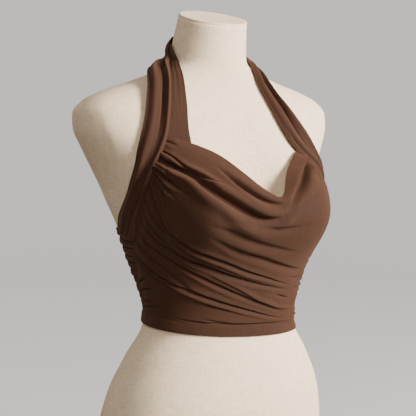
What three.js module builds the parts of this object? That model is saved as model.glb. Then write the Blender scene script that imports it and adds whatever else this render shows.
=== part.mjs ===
// A cropped halter neck top of draped jersey on the limbless dress form that fills it out.
// Millimetres, +Z up. The form stands on z = 0 with its axis on the origin and its chest facing -Y,
// so the wearer's left is +X. Angles round the body are degrees from the front, plus to the wearer's left.
import * as THREE from "three";

const DEGREE = Math.PI / 180;

// Driving sizes of the form: a women's figure that tapes bust 905, waist 595 and hips 905 round.
const FORM_SECTIONS = [
  { z: 0, half: 160, front: 103, back: 107, set: 4, power: 2.3 },
  { z: 45, half: 169, front: 107, back: 112, set: 4, power: 2.3 },
  { z: 100, half: 168, front: 106, back: 108, set: 0, power: 2.25 },
  { z: 150, half: 159, front: 100, back: 100, set: -7, power: 2.2 },
  { z: 200, half: 137, front: 88, back: 87, set: -13, power: 2.15 },
  { z: 244, half: 112, front: 77, back: 77, set: -17, power: 2.1 },
  { z: 265, half: 109, front: 77, back: 75, set: -17, power: 2.1 },
  { z: 290, half: 113, front: 80, back: 78, set: -16, power: 2.15 },
  { z: 330, half: 124, front: 89, back: 89, set: -10, power: 2.25 },
  { z: 380, half: 137, front: 97, back: 102, set: -2, power: 2.35 },
  { z: 425, half: 150, front: 99, back: 120, set: 6, power: 2.5 },
  { z: 460, half: 165, front: 96, back: 118, set: 13, power: 2.6 },
  { z: 490, half: 182, front: 90, back: 105, set: 18, power: 2.7 },
  { z: 515, half: 195, front: 83, back: 90, set: 21, power: 2.7 },
  { z: 536, half: 198, front: 75, back: 77, set: 22, power: 2.6 },
  { z: 552, half: 186, front: 67, back: 67, set: 22, power: 2.4 },
  { z: 565.5, half: 158, front: 60, back: 60, set: 21, power: 2.2 },
  { z: 580.5, half: 112, front: 55, back: 55, set: 19, power: 2.05 },
  { z: 596, half: 72, front: 53, back: 53, set: 16, power: 2 },
  { z: 608, half: 56.6, front: 52, back: 52, set: 12, power: 2 },
  { z: 640, half: 51.4, front: 50.4, back: 50.4, set: 5, power: 2 },
  { z: 690, half: 46.2, front: 46.2, back: 46.2, set: -9, power: 2 },
];
const BUST = { z: 400, apart: 87, reach: 64, spread: 59, above: 64, below: 48, clothBelow: 58 };
const NECK = { cutHeight: 666, cutTilt: 14.5 * DEGREE, tiltFrom: 600 };

// Driving sizes of the top, cut from one weight of jersey. The straps are folded double.
const CLOTH = { single: 1.4, double: 1.8, under: 1, clear: 1.6, gap: 0.4 };
const HEM = { height: 16, front: 240.7, perX: -0.063, perY: 0.079 };

// The line that runs from the nape down each strap's inner edge, round the cup and down the side seam.
const RIGHT_LINE = [
  { z: 240, x: -112, y: -8 },
  { z: 262, x: -112, y: -8 },
  { z: 300, x: -116, y: -7 },
  { z: 334, x: -124, y: -14 },
  { z: 368, x: -132, y: -28 },
  { z: 400, x: -134, y: -47 },
  { z: 427, x: -134, y: -60 },
  { z: 454, x: -128, y: -69 },
  { z: 476, x: -120, y: -70 },
  { z: 502, x: -107, y: -63 },
  { z: 539, x: -94, y: -48 },
  { z: 566, x: -84, y: -32 },
  { z: 594, x: -67, y: -4 },
  { z: 622, x: -54, y: 18 },
  { z: 640, x: -40, y: 35 },
  { z: 648, x: 0, y: 56 },
];
const LEFT_LINE = [
  { z: 240, x: 104, y: -52 },
  { z: 262, x: 104, y: -52 },
  { z: 300, x: 108, y: -52 },
  { z: 334, x: 116, y: -50 },
  { z: 368, x: 126, y: -46 },
  { z: 400, x: 134, y: -50 },
  { z: 425, x: 131, y: -66 },
  { z: 442, x: 121, y: -78 },
  { z: 455, x: 110, y: -87 },
  { z: 468, x: 97, y: -88 },
  { z: 484, x: 84, y: -80 },
  { z: 509, x: 74, y: -65 },
  { z: 554, x: 60, y: -43 },
  { z: 593, x: 50, y: -21 },
  { z: 622, x: 52, y: 8 },
  { z: 640, x: 40, y: 35 },
  { z: 648, x: 0, y: 56 },
];

// The outer edge of each strap, paired with heights on its inner line, from the nape (0) to the side (1).
const STRAP_RIGHT = [
  { t: 0, inner: 648, x: 0, y: 66, z: 614, lift: 1.5 },
  { t: 0.1, inner: 640, x: -43, y: 50, z: 602, lift: 1.5 },
  { t: 0.19, inner: 617, x: -78, y: 24, z: 588, lift: 6 },
  { t: 0.28, inner: 588, x: -104, y: -6, z: 576, lift: 8 },
  { t: 0.35, inner: 564, x: -118, y: -28, z: 562, lift: 5 },
  { t: 0.45, inner: 526, x: -133, y: -46, z: 524, lift: 2 },
  { t: 0.6, inner: 476, x: -145, y: -51, z: 476, lift: 1 },
  { t: 0.72, inner: 438, x: -147, y: -38, z: 440, lift: 1 },
  { t: 0.85, inner: 400, x: -142, y: -1, z: 402, lift: 0.8 },
  { t: 1, inner: 368, x: -131, y: 33, z: 378, lift: 0.5 },
];
const STRAP_LEFT = [
  { t: 0, inner: 648, x: 0, y: 66, z: 614, lift: 1.5 },
  { t: 0.1, inner: 640, x: 42, y: 50, z: 602, lift: 1 },
  { t: 0.19, inner: 616, x: 61, y: 12, z: 597, lift: 1 },
  { t: 0.28, inner: 588, x: 73, y: -18, z: 579, lift: 1 },
  { t: 0.35, inner: 562, x: 86, y: -35, z: 560, lift: 1.5 },
  { t: 0.45, inner: 524, x: 109, y: -53, z: 522, lift: 2 },
  { t: 0.58, inner: 480, x: 132, y: -60, z: 478, lift: 1.5 },
  { t: 0.68, inner: 447, x: 145, y: -46, z: 447, lift: 3.5 },
  { t: 0.76, inner: 425, x: 147, y: -28, z: 425, lift: 5 },
  { t: 0.87, inner: 396, x: 141, y: 2, z: 399, lift: 2 },
  { t: 1, inner: 368, x: 131, y: 33, z: 378, lift: 0.5 },
];
// Pleats along each strap: their place across it from the outer edge, half width and height.
const PLEATS_RIGHT = [
  { across: 0.3, half: 0.26, high: 5 },
  { across: 0.88, half: 0.15, high: 4.5 },
];
const PLEATS_LEFT = [
  { across: 0.22, half: 0.2, high: 4 },
  { across: 0.74, half: 0.26, high: 5 },
];
const UNDER_STRAP = [
  { z: 486, x: -77, y: -73, lift: 0 },
  { z: 513, x: -74, y: -63, lift: 0 },
  { z: 552, x: -66, y: -43, lift: 1 },
  { z: 583, x: -61, y: -26, lift: 2.5 },
  { z: 608, x: -56, y: -6, lift: 2.8 },
  { z: 630, x: -51, y: 16, lift: 1.5 },
];
const BACK_CORNER = 368;
const BACK_TOP = [
  { angle: 60, z: 366 },
  { angle: 68, z: BACK_CORNER },
  { angle: 108, z: 378 },
  { angle: 180, z: 372 },
  { angle: 252, z: 378 },
  { angle: 281, z: BACK_CORNER },
  { angle: 290, z: 366 },
];

// Lines of the front's drape from the cowl's edge (0) to the hem seam (1). Each leaves the right line at
// one height, passes three places on the body and reaches the left line at another height.
const DRAPE_AT = { a: 0.3, b: 0.6, c: 0.8 };
const DRAPE = [
  { v: 0, right: 506, aAngle: -11, aZ: 482, bAngle: 3, bZ: 423, cAngle: 11, cZ: 452, left: 484 },
  { v: 0.08, right: 493, aAngle: -20, aZ: 452, bAngle: 3, bZ: 413, cAngle: 17, cZ: 441, left: 469 },
  { v: 0.16, right: 476, aAngle: -22, aZ: 431, bAngle: 4, bZ: 398, cAngle: 19, cZ: 427, left: 460 },
  { v: 0.26, right: 464, aAngle: -24, aZ: 424, bAngle: 6, bZ: 385, cAngle: 28, cZ: 389, left: 418 },
  { v: 0.36, right: 456, aAngle: -28, aZ: 390, bAngle: 8, bZ: 360, cAngle: 34, cZ: 351, left: 352 },
  { v: 0.46, right: 449, aAngle: -32, aZ: 375, bAngle: 8, bZ: 338, cAngle: 36, cZ: 329, left: 330 },
  { v: 0.54, right: 442, aAngle: -42, aZ: 362, bAngle: 4, bZ: 323, cAngle: 34, cZ: 311, left: 310 },
  { v: 0.64, right: 406, aAngle: -42, aZ: 346, bAngle: 4, bZ: 309, cAngle: 34, cZ: 299, left: 296 },
  { v: 0.74, right: 368, aAngle: -42, aZ: 326, bAngle: 4, bZ: 284, cAngle: 34, cZ: 265, left: 268 },
  { v: 0.83, right: 350, aAngle: -44, aZ: 300, bAngle: 4, bZ: 269, cAngle: 36, cZ: 257, left: 258 },
  { v: 0.9, right: 312, aAngle: -46, aZ: 277, bAngle: 4, bZ: 258, cAngle: 36, cZ: 252, left: 252 },
  { v: 1, right: 262, aAngle: -50, aZ: 254, bAngle: 0, bZ: 250, cAngle: 34, cZ: 247, left: 246 },
];
// How far the cloth stands out along the same lines: crests and troughs in turn, at the right, middle and left.
const FOLDS = [
  { v: 0, right: 1.5, middle: 2, left: 1 },
  { v: 0.035, right: 4, middle: 8, left: 4 },
  { v: 0.08, right: 1.5, middle: 0, left: 0 },
  { v: 0.12, right: 4, middle: 7, left: 6 },
  { v: 0.16, right: 0.5, middle: 0, left: 3 },
  { v: 0.205, right: 4, middle: 4.5, left: 6 },
  { v: 0.26, right: 0, middle: 2, left: 5 },
  { v: 0.31, right: 4, middle: 3.5, left: 5 },
  { v: 0.36, right: 0, middle: 1.5, left: 2 },
  { v: 0.41, right: 4, middle: 3.5, left: 3.5 },
  { v: 0.46, right: 0, middle: 1, left: 0 },
  { v: 0.5, right: 4, middle: 3, left: 3.5 },
  { v: 0.54, right: 0, middle: 0, left: 0 },
  { v: 0.565, right: 3.5, middle: 4, left: 3.5 },
  { v: 0.6, right: 1, middle: 1.5, left: 1 },
  { v: 0.62, right: 3.5, middle: 3.5, left: 3.5 },
  { v: 0.64, right: 0, middle: 0, left: 0 },
  { v: 0.665, right: 3.5, middle: 4, left: 3.5 },
  { v: 0.705, right: 1, middle: 1, left: 1 },
  { v: 0.725, right: 3, middle: 2.5, left: 3 },
  { v: 0.74, right: 0, middle: 0, left: 0 },
  { v: 0.765, right: 3, middle: 4, left: 3.5 },
  { v: 0.8, right: 1, middle: 1, left: 1 },
  { v: 0.83, right: 0, middle: 0, left: 0 },
  { v: 0.85, right: 3, middle: 3, left: 3 },
  { v: 0.9, right: 0.5, middle: 1, left: 1 },
  { v: 0.935, right: 1.5, middle: 1.5, left: 1.5 },
  { v: 0.965, right: 0, middle: 0, left: 0 },
  { v: 1, right: 0.5, middle: 0.8, left: 0.5 },
];

const clamp = (value, low, high) => Math.min(high, Math.max(low, value));
const smooth = (low, high, value) => {
  const share = clamp((value - low) / (high - low), 0, 1);
  return share * share * (3 - 2 * share);
};

// Every column of a table at one value of its key column, along monotone cubic curves.
function rowAt(rows, key, value) {
  const last = rows.length - 1;
  const at = clamp(value, rows[0][key], rows[last][key]);
  let i = rows.findIndex((row) => row[key] > at) - 1;
  if (i < 0) i = last - 1;
  const slope = (j, column) =>
    (rows[j + 1][column] - rows[j][column]) / (rows[j + 1][key] - rows[j][key]);
  const tangent = (j, column) => {
    if (j === 0) return slope(0, column);
    if (j === last) return slope(last - 1, column);
    const [before, after] = [slope(j - 1, column), slope(j, column)];
    return before * after <= 0 ? 0 : (2 * before * after) / (before + after);
  };
  const step = rows[i + 1][key] - rows[i][key];
  const t = (at - rows[i][key]) / step;
  const found = {};
  for (const column of Object.keys(rows[i])) {
    if (typeof rows[i][column] !== "number") continue;
    found[column] =
      (1 + 2 * t) * (1 - t) ** 2 * rows[i][column] +
      t * (1 - t) ** 2 * step * tangent(i, column) +
      t * t * (3 - 2 * t) * rows[i + 1][column] +
      t * t * (t - 1) * step * tangent(i + 1, column);
  }
  return found;
}

// How far the bust stands forward of the plain section; taut cloth spans the hollow between the cups.
function bustReach(x, z, half, taut) {
  const rise = z - BUST.z;
  const fall = rise > 0 ? BUST.above : taut ? BUST.clothBelow : BUST.below;
  const upDown = Math.exp(-((rise / fall) ** 2));
  const cup = (side) => Math.exp(-(((x - side * BUST.apart) / BUST.spread) ** 2));
  const cups = cup(-1) + cup(1);
  const span = Math.abs(x) < BUST.apart ? 0.84 + 0.16 * (x / BUST.apart) ** 2 : 0;
  const edge = 1 - clamp(Math.abs(x) / half, 0, 1) ** 6;
  return BUST.reach * upDown * edge * (taut ? Math.max(cups, span) : cups);
}

function bodyPoint(angle, z, taut = false) {
  const { half, front, back, set, power } = rowAt(FORM_SECTIONS, "z", z);
  const [sine, cosine] = [Math.sin(angle * DEGREE), Math.cos(angle * DEGREE)];
  const x = half * Math.sign(sine) * Math.abs(sine) ** (2 / power);
  const along = Math.abs(cosine) ** (2 / power);
  if (cosine < 0) return new THREE.Vector3(x, set + back * along, z);
  return new THREE.Vector3(x, set - front * along - bustReach(x, z, half, taut), z);
}

function meshOf(name, material, corners, faces) {
  const geometry = new THREE.BufferGeometry();
  geometry.setAttribute("position", new THREE.Float32BufferAttribute(corners.flatMap((c) => c.toArray()), 3));
  geometry.setIndex(faces);
  geometry.computeVertexNormals();
  const mesh = new THREE.Mesh(geometry, material);
  mesh.name = name;
  return mesh;
}

// A solid through closed rings of equal count, counter-clockwise from above and listed upwards.
function loft(name, material, rings) {
  const count = rings[0].length;
  const middle = (ring) => ring.reduce((sum, p) => sum.add(p), new THREE.Vector3()).divideScalar(count);
  const corners = [...rings.flat(), middle(rings[0]), middle(rings.at(-1))];
  const [low, high] = [corners.length - 2, corners.length - 1];
  const top = (rings.length - 1) * count;
  const faces = [];
  for (let i = 0; i < count; i++) {
    const next = (i + 1) % count;
    faces.push(low, next, i, high, top + i, top + next);
    for (let r = 0; r < rings.length - 1; r++) {
      const [a, b, c, d] = [r * count + i, r * count + next, (r + 1) * count + next, (r + 1) * count + i];
      faces.push(a, b, c, a, c, d);
    }
  }
  return meshOf(name, material, corners, faces);
}

// The angle round the body of a point on it.
function angleAt(point) {
  const { half, set, power } = rowAt(FORM_SECTIONS, "z", point.z);
  const sine = clamp(Math.abs(point.x) / half, 0, 1) ** (power / 2);
  const turn = Math.asin(sine) / DEGREE;
  return Math.sign(point.x) * (point.y > set ? 180 - turn : turn);
}

// Zero on the taut body, more outside it, with its slope as the way out.
function bodyLevel(point) {
  const { half, front, back, set, power } = rowAt(FORM_SECTIONS, "z", point.z);
  const behind = point.y > set;
  const reach = behind ? 0 : bustReach(point.x, point.z, half, true);
  const y = point.y - set + reach;
  const depth = behind ? back : front;
  return ((Math.abs(point.x) / half) ** power + (Math.abs(y) / depth) ** power) ** (1 / power) - 1;
}

function bodySlope(point) {
  const nudge = 0.5;
  const along = (axis) => {
    const [ahead, behind] = [point.clone(), point.clone()];
    ahead[axis] += nudge;
    behind[axis] -= nudge;
    return (bodyLevel(ahead) - bodyLevel(behind)) / (2 * nudge);
  };
  return new THREE.Vector3(along("x"), along("y"), along("z"));
}

// A spot of cloth is its point on the outer side and the way out of the body there.
function spotNear(rough, out) {
  const point = rough.clone();
  for (let i = 0; i < 6; i++) {
    const slope = bodySlope(point);
    point.addScaledVector(slope, -bodyLevel(point) / slope.lengthSq());
  }
  const way = bodySlope(point).normalize();
  return { point: point.addScaledVector(way, out), way };
}

function spotAt(angle, z, out) {
  const point = bodyPoint(angle, z, true);
  const round = bodyPoint(angle + 0.5, z, true).sub(bodyPoint(angle - 0.5, z, true));
  const up = bodyPoint(angle, z + 1, true).sub(bodyPoint(angle, z - 1, true));
  const way = round.cross(up).normalize();
  return { point: point.addScaledVector(way, out), way };
}

const linePoint = (line, z) => {
  const { x, y } = rowAt(line, "z", z);
  return spotNear(new THREE.Vector3(x, y, z), 0).point;
};

const hemZ = (angle, above) => {
  const { x, y } = bodyPoint(angle, HEM.front, true);
  return HEM.front + HEM.perX * x + HEM.perY * y + above;
};

// A wall of cloth on a grid of spots. Rows run down and columns to the wearer's left, seen from outside.
function clothWall(name, thick, grid, closed = false) {
  const [rows, columns] = [grid.length, grid[0].length];
  const at = (r, c) => grid[clamp(r, 0, rows - 1)][closed ? (c + columns) % columns : clamp(c, 0, columns - 1)];
  const inner = grid.map((row, r) =>
    row.map(({ point, way }, c) => {
      const down = at(r + 1, c).point.clone().sub(at(r - 1, c).point);
      const across = at(r, c + 1).point.clone().sub(at(r, c - 1).point);
      const lean = clamp(down.cross(across).normalize().dot(way), 0.6, 1);
      return point.clone().addScaledVector(way, -thick / lean);
    })
  );
  const corners = [...grid.flat().map((spot) => spot.point), ...inner.flat()];
  const behind = rows * columns;
  const spans = closed ? columns : columns - 1;
  const faces = [];
  const quad = (a, b, c, d) => faces.push(a, b, c, a, c, d);
  for (let r = 0; r < rows - 1; r++) {
    for (let c = 0; c < spans; c++) {
      const next = (c + 1) % columns;
      const [a, b] = [r * columns + c, (r + 1) * columns + c];
      const [d, e] = [r * columns + next, (r + 1) * columns + next];
      quad(a, b, e, d);
      quad(behind + a, behind + d, behind + e, behind + b);
      if (r === 0) quad(a, d, behind + d, behind + a);
      if (r === rows - 2) quad(b, behind + b, behind + e, e);
    }
    if (closed) continue;
    const [a, b] = [r * columns, (r + 1) * columns];
    const [d, e] = [a + columns - 1, b + columns - 1];
    quad(a, behind + a, behind + b, b);
    quad(d, e, behind + e, behind + d);
  }
  return meshOf(name, jersey, corners, faces);
}

// Draws a wall's edges back along the cloth, so that it stops short of the next piece.
function trim(grid) {
  const draw = (edge, next) => {
    const inward = next.point.clone().sub(edge.point).normalize();
    edge.point.addScaledVector(inward, CLOTH.gap / 2);
  };
  for (const row of grid) {
    draw(row[0], row[1]);
    draw(row.at(-1), row.at(-2));
  }
  grid[0].forEach((spot, c) => draw(spot, grid[1][c]));
  grid.at(-1).forEach((spot, c) => draw(spot, grid.at(-2)[c]));
  return grid;
}

const shares = (count) => Array.from({ length: count + 1 }, (_, i) => i / count);

const linen = new THREE.MeshStandardMaterial({ color: 0xd9cfc0, roughness: 0.9, metalness: 0 });
const jersey = new THREE.MeshStandardMaterial({ color: 0x5a3826, roughness: 0.75, metalness: 0 });

// The form's rings are evenly spaced along its surface, and lean with the neck's slanting cut near the top.
const FORM_RINGS = 38;
const FORM_SIDES = 48;

function ringAt(level) {
  const lean = Math.tan(NECK.cutTilt) * smooth(NECK.tiltFrom, NECK.cutHeight, level);
  return Array.from({ length: FORM_SIDES }, (_, i) => {
    const angle = (360 * i) / FORM_SIDES - 180;
    return bodyPoint(angle, level + lean * bodyPoint(angle, level).y);
  });
}

function formLevels() {
  const fine = Array.from({ length: NECK.cutHeight + 1 }, (_, z) => rowAt(FORM_SECTIONS, "z", z));
  const path = [0];
  for (let i = 1; i < fine.length; i++) {
    const out = Math.abs(fine[i].half - fine[i - 1].half);
    path.push(path[i - 1] + Math.hypot(1, out));
  }
  return Array.from({ length: FORM_RINGS + 1 }, (_, r) => {
    const reach = (path.at(-1) * r) / FORM_RINGS;
    return Math.max(0, path.findIndex((p) => p >= reach - 1e-6));
  });
}

function makeForm() {
  const levels = formLevels();
  return loft("dress_form", linen, levels.map(ringAt));
}

function makeNeckCap() {
  const CAP = { gap: 0.3, thick: 4, inset: 0.985, round: 0.95 };
  const cut = ringAt(NECK.cutHeight);
  const centre = cut.reduce((sum, p) => sum.add(p), new THREE.Vector3()).divideScalar(cut.length);
  const up = new THREE.Vector3(0, -Math.sin(NECK.cutTilt), Math.cos(NECK.cutTilt));
  const ring = (share, height) =>
    cut.map((p) => p.clone().sub(centre).multiplyScalar(share).add(centre).addScaledVector(up, height));
  return loft("neck_cap", linen, [
    ring(CAP.inset, CAP.gap),
    ring(CAP.inset, CAP.thick * 0.6),
    ring(CAP.round, CAP.thick),
  ]);
}

const FRONT_COLUMNS = 27;
const STRAP_GRID = { along: 32, across: 9 };
const BACK_GRID = { round: 26, down: 18 };
const HEM_COLUMNS = 64;
const RUCHING = { folds: 4.5, high: 3, reach: 30, slant: 0.02 };
const ALL_OUT = CLOTH.clear + CLOTH.single;

function makeFront() {
  const easeAtSeam = (u) => 0.45 + 0.55 * smooth(0, 0.07, u) * smooth(0, 0.07, 1 - u);
  const between = FOLDS.slice(1).map((fold, i) => (fold.v + FOLDS[i].v) / 2);
  const levels = [...FOLDS.map((fold) => fold.v), ...between].sort((a, b) => a - b);
  const grid = levels.map((v) => {
    const line = rowAt(DRAPE, "v", v);
    const fold = rowAt(FOLDS, "v", v);
    const [from, to] = [linePoint(RIGHT_LINE, line.right), linePoint(LEFT_LINE, line.left)];
    const stations = [
      { u: 0, angle: angleAt(from), z: from.z },
      { u: DRAPE_AT.a, angle: line.aAngle, z: line.aZ },
      { u: DRAPE_AT.b, angle: line.bAngle, z: line.bZ },
      { u: DRAPE_AT.c, angle: line.cAngle, z: line.cZ },
      { u: 1, angle: angleAt(to), z: to.z },
    ];
    const heights = [{ u: 0, high: fold.right }, { u: 0.5, high: fold.middle }, { u: 1, high: fold.left }];
    return shares(FRONT_COLUMNS).map((u) => {
      const { angle, z } = rowAt(stations, "u", u);
      const high = rowAt(heights, "u", u).high * easeAtSeam(u);
      return spotAt(angle, v === 1 ? hemZ(angle, HEM.height) : z, ALL_OUT + high);
    });
  });
  return clothWall("front_panel", CLOTH.single, trim(grid));
}

// One strap, on a grid that crosses it from the outer to the inner edge. Its low end meets the back's top.
function makeStrap(name, edges, line, pleats, toRight) {
  const high = (t, across) => {
    const bells = pleats.map(({ across: middle, half, high: top }) => {
      const off = clamp(Math.abs(across - middle) / half, 0, 1);
      return (top * (1 + Math.cos(Math.PI * off))) / 2;
    });
    const ends = (0.7 + 0.3 * smooth(0.05, 0.22, t)) * (1 - 0.55 * smooth(0.6, 1, t));
    return bells.reduce((sum, bell) => sum + bell) * ends;
  };
  const grid = shares(STRAP_GRID.along).map((t) => {
    const { inner, x, y, z, lift } = rowAt(edges, "t", t);
    const [outerEdge, innerEdge] = [new THREE.Vector3(x, y, z), linePoint(line, inner)];
    const row = shares(STRAP_GRID.across).map((across) => {
      const rough = outerEdge.clone().lerp(innerEdge, across);
      const pressed = 0.75 * smooth(0.55, 1, across) * smooth(0.52, 0.64, t);
      const out = CLOTH.clear + CLOTH.double + lift * (1 - pressed) + high(t, across);
      if (t < 1) return spotNear(rough, out);
      const angle = angleAt(spotNear(rough, 0).point);
      return spotAt(angle, backTop(angle), out);
    });
    return toRight ? row : row.reverse();
  });
  return clothWall(name, CLOTH.double, trim(grid));
}

const UNDER_CLEAR = 0.7;

// The inner layer of the right strap reaches a little way under the strap and down behind the cowl.
function makeUnderStrap() {
  const [low, high] = [UNDER_STRAP[0].z, UNDER_STRAP.at(-1).z];
  const grid = shares(16).map((down) => {
    const z = high + (low - high) * down;
    const { x, y, lift } = rowAt(UNDER_STRAP, "z", z);
    const [edge, seam] = [new THREE.Vector3(x, y, z), linePoint(RIGHT_LINE, z)];
    return shares(3).map((share) => spotNear(seam.clone().lerp(edge, share * 1.25 - 0.25), UNDER_CLEAR + CLOTH.under + lift));
  });
  return clothWall("under_strap_right", CLOTH.under, grid);
}

const backTop = (angle) => rowAt(BACK_TOP, "angle", (angle + 360) % 360).z;

function makeBack() {
  const ends = (z) => [angleAt(linePoint(LEFT_LINE, z)), angleAt(linePoint(RIGHT_LINE, z)) + 360];
  const [topEnds, hemEnds] = [ends(BACK_CORNER), ends(HEM.front + HEM.height)];
  const heightAt = (share, down) => {
    const [top, hem] = [topEnds, hemEnds].map(([from, to]) => from + (to - from) * share);
    return backTop(top) + (hemZ(hem, HEM.height) - backTop(top)) * down;
  };
  const grid = shares(BACK_GRID.down).map((down) => {
    const from = angleAt(linePoint(LEFT_LINE, heightAt(0, down)));
    const to = angleAt(linePoint(RIGHT_LINE, heightAt(1, down))) + 360;
    return shares(BACK_GRID.round).map((share) => {
      const angle = from + (to - from) * share;
      const height = heightAt(share, down);
      const toSeam = Math.min(angle - from, to - angle);
      const wave = (1 - Math.cos(2 * Math.PI * (RUCHING.folds * down + toSeam * RUCHING.slant))) / 2;
      const high = RUCHING.high * wave * (1 - smooth(0, RUCHING.reach, toSeam)) * smooth(0, 0.1, 1 - down);
      return spotAt(angle, height, ALL_OUT + high);
    });
  });
  return clothWall("back_panel", CLOTH.single, trim(grid));
}

function makeHemBand() {
  const BAND = [
    { above: HEM.height - CLOTH.gap / 2, out: 0.4 },
    { above: HEM.height * 0.7, out: 1.2 },
    { above: HEM.height * 0.25, out: 1.2 },
    { above: 0, out: 0.6 },
  ];
  const grid = BAND.map(({ above, out }) =>
    Array.from({ length: HEM_COLUMNS }, (_, c) => {
      const angle = (360 * c) / HEM_COLUMNS - 180;
      return spotAt(angle, hemZ(angle, above), CLOTH.clear + CLOTH.double + out);
    })
  );
  return clothWall("hem_band", CLOTH.double, grid, true);
}

const part = new THREE.Group();
part.add(makeForm(), makeNeckCap(), makeFront(), makeBack(), makeHemBand(), makeUnderStrap());
part.add(makeStrap("strap_right", STRAP_RIGHT, RIGHT_LINE, PLEATS_RIGHT, true));
part.add(makeStrap("strap_left", STRAP_LEFT, LEFT_LINE, PLEATS_LEFT, false));
export default part;
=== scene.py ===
# A cropped halter neck top of draped brown jersey, dressed on a limbless form covered in linen.
# The tables are in millimetres and the finished meshes are in metres. The chest faces -Y and the wearer's
# left is +X. Angles round the body are degrees from the front, plus to that left.
import math

import bmesh
import bpy
import numpy as np
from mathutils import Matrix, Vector


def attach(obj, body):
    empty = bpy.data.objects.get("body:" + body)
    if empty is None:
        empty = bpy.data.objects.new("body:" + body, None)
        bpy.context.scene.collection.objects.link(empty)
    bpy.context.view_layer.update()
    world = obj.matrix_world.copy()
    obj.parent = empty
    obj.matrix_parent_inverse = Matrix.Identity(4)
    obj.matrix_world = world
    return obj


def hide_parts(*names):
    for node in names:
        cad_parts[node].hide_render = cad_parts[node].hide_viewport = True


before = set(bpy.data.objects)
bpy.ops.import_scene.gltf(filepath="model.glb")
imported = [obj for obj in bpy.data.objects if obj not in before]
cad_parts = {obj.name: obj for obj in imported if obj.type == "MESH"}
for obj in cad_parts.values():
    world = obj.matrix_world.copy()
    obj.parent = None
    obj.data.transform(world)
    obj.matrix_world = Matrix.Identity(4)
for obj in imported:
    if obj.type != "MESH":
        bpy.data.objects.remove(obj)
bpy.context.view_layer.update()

MM = 0.001


def table(columns, rows):
    """Rows of numbers as named columns."""
    return dict(zip(columns.split(), np.array(rows, float).T))


# Sections of the form at heights z: half width, depth to the front and back of its set, and squareness.
FORM_SECTIONS = table("z half front back set power", [
    (0, 160, 103, 107, 4, 2.3),
    (45, 169, 107, 112, 4, 2.3),
    (100, 168, 106, 108, 0, 2.25),
    (150, 159, 100, 100, -7, 2.2),
    (200, 137, 88, 87, -13, 2.15),
    (244, 112, 77, 77, -17, 2.1),
    (265, 109, 77, 75, -17, 2.1),
    (290, 113, 80, 78, -16, 2.15),
    (330, 124, 89, 89, -10, 2.25),
    (380, 137, 97, 102, -2, 2.35),
    (425, 150, 99, 120, 6, 2.5),
    (460, 165, 96, 118, 13, 2.6),
    (490, 182, 90, 105, 18, 2.7),
    (515, 195, 83, 90, 21, 2.7),
    (536, 198, 75, 77, 22, 2.6),
    (552, 186, 67, 67, 22, 2.4),
    (565.5, 158, 60, 60, 21, 2.2),
    (580.5, 112, 55, 55, 19, 2.05),
    (596, 72, 53, 53, 16, 2),
    (608, 56.6, 52, 52, 12, 2),
    (640, 51.4, 50.4, 50.4, 5, 2),
    (690, 46.2, 46.2, 46.2, -9, 2),
])
# The line from the hem up each side seam, round the cup and along the strap's inner edge to the nape.
RIGHT_LINE = table("z x y", [
    (240, -112, -8),
    (262, -112, -8),
    (300, -116, -7),
    (334, -124, -14),
    (368, -132, -28),
    (400, -134, -47),
    (427, -134, -60),
    (454, -128, -69),
    (476, -120, -70),
    (502, -107, -63),
    (539, -94, -48),
    (566, -84, -32),
    (594, -67, -4),
    (622, -54, 18),
    (640, -40, 35),
    (648, 0, 56),
])
LEFT_LINE = table("z x y", [
    (240, 104, -52),
    (262, 104, -52),
    (300, 108, -52),
    (334, 116, -50),
    (368, 126, -46),
    (400, 134, -50),
    (425, 131, -66),
    (442, 121, -78),
    (455, 110, -87),
    (468, 97, -88),
    (484, 84, -80),
    (509, 74, -65),
    (554, 60, -43),
    (593, 50, -21),
    (622, 52, 8),
    (640, 40, 35),
    (648, 0, 56),
])
# Each strap from the nape (0) to the side (1): where it meets its inner line, its outer edge and its lift.
STRAP_RIGHT = table("t inner x y z lift", [
    (0, 648, 0, 66, 614, 1.5),
    (0.1, 640, -43, 50, 602, 1.5),
    (0.19, 617, -78, 24, 588, 6),
    (0.28, 588, -104, -6, 576, 8),
    (0.35, 564, -118, -28, 562, 5),
    (0.45, 526, -133, -46, 524, 2),
    (0.6, 476, -145, -51, 476, 1),
    (0.72, 438, -147, -38, 440, 1),
    (0.85, 400, -142, -1, 402, 0.8),
    (1, 368, -131, 33, 378, 0.5),
])
STRAP_LEFT = table("t inner x y z lift", [
    (0, 648, 0, 66, 614, 1.5),
    (0.1, 640, 42, 50, 602, 1),
    (0.19, 616, 61, 12, 597, 1),
    (0.28, 588, 73, -18, 579, 1),
    (0.35, 562, 86, -35, 560, 1.5),
    (0.45, 524, 109, -53, 522, 2),
    (0.58, 480, 132, -60, 478, 1.5),
    (0.68, 447, 145, -46, 447, 3.5),
    (0.76, 425, 147, -28, 425, 5),
    (0.87, 396, 141, 2, 399, 2),
    (1, 368, 131, 33, 378, 0.5),
])
# The inner edge of the strap's under layer.
UNDER_STRAP = table("z x y lift", [
    (486, -77, -73, 0),
    (513, -74, -63, 0),
    (552, -66, -43, 1),
    (583, -61, -26, 2.5),
    (608, -56, -6, 2.8),
    (630, -51, 16, 1.5),
])
# The back's top edge round the body.
BACK_TOP = table("angle z", [
    (60, 366),
    (68, 368),
    (108, 378),
    (180, 372),
    (252, 378),
    (281, 368),
    (290, 366),
])
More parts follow.
